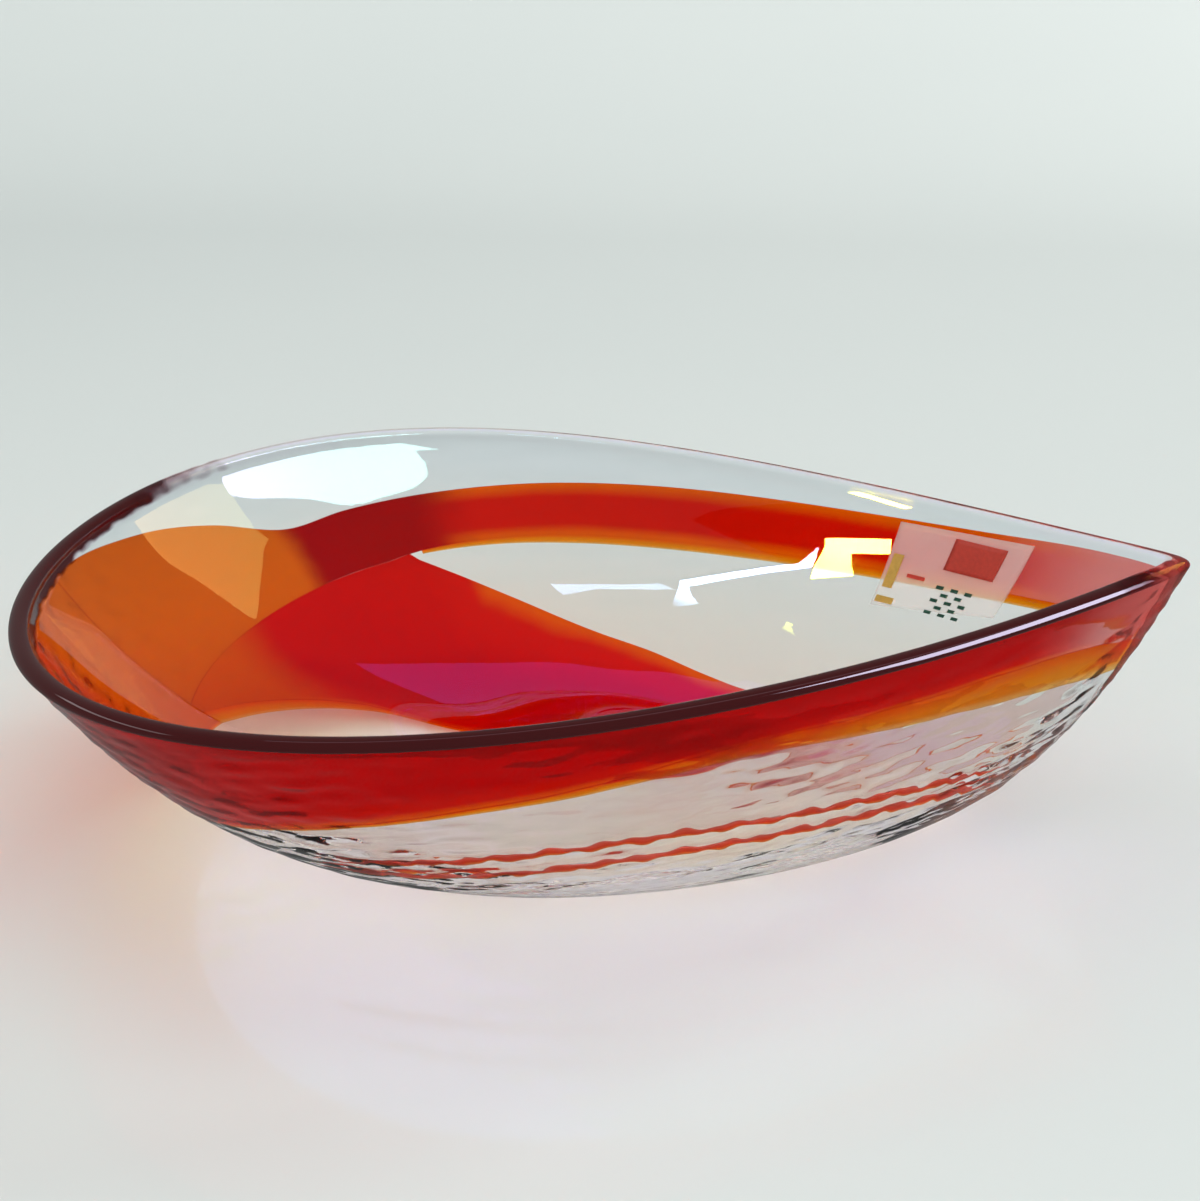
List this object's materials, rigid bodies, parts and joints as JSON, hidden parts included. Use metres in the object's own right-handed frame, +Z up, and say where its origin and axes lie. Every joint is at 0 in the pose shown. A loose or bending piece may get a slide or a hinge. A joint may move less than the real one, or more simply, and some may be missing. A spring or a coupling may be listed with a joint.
{
  "type": "art glass bowl",
  "caption": "Low boat-shaped cased glass bowl, round at one end and pointed at the other, with red ribbons in clear glass and a dark rounded lip.",
  "frame": {"origin": "middle of the bounding box at the ground foot, on the surface the bowl stands on", "axes": "+X along the bowl towards the pointed tip, +Z up out of the bowl"},
  "size_m": [0.2802, 0.1944, 0.0705],
  "materials": {
    "clear_hammered": "clear, hammered",
    "clear_lustre": "clear, smooth, iridescent",
    "amethyst": "deep purple, glossy",
    "clear_lip": "clear, faint violet",
    "red_glass": "deep red, transparent",
    "amber_glass": "amber, transparent",
    "clear_core": "clear",
    "film": "satin white",
    "print_red": "satin",
    "print_gold": "metallic print",
    "print_green": "matt"
  },
  "bodies": {
    "root": {"outer_casing": "clear_hammered", "inner_lining": "clear_lustre", "lip_amethyst": "amethyst", "lip_clear": "clear_lip", "ribbon_wall": "red_glass", "ribbon_floor": "red_glass", "ribbon_front": "red_glass", "ribbon_wall_amber": "amber_glass", "ribbon_floor_amber": "amber_glass", "ribbon_front_amber": "amber_glass", "clear_back_top": "clear_core", "clear_wall_back": "clear_core", "clear_floor_back": "clear_core", "clear_floor_front": "clear_core", "sticker_film": "film", "sticker_panel": "print_red", "sticker_gold": "print_gold", "sticker_stripe": "print_red", "sticker_dots": "print_green"}
  },
  "joints": []
}
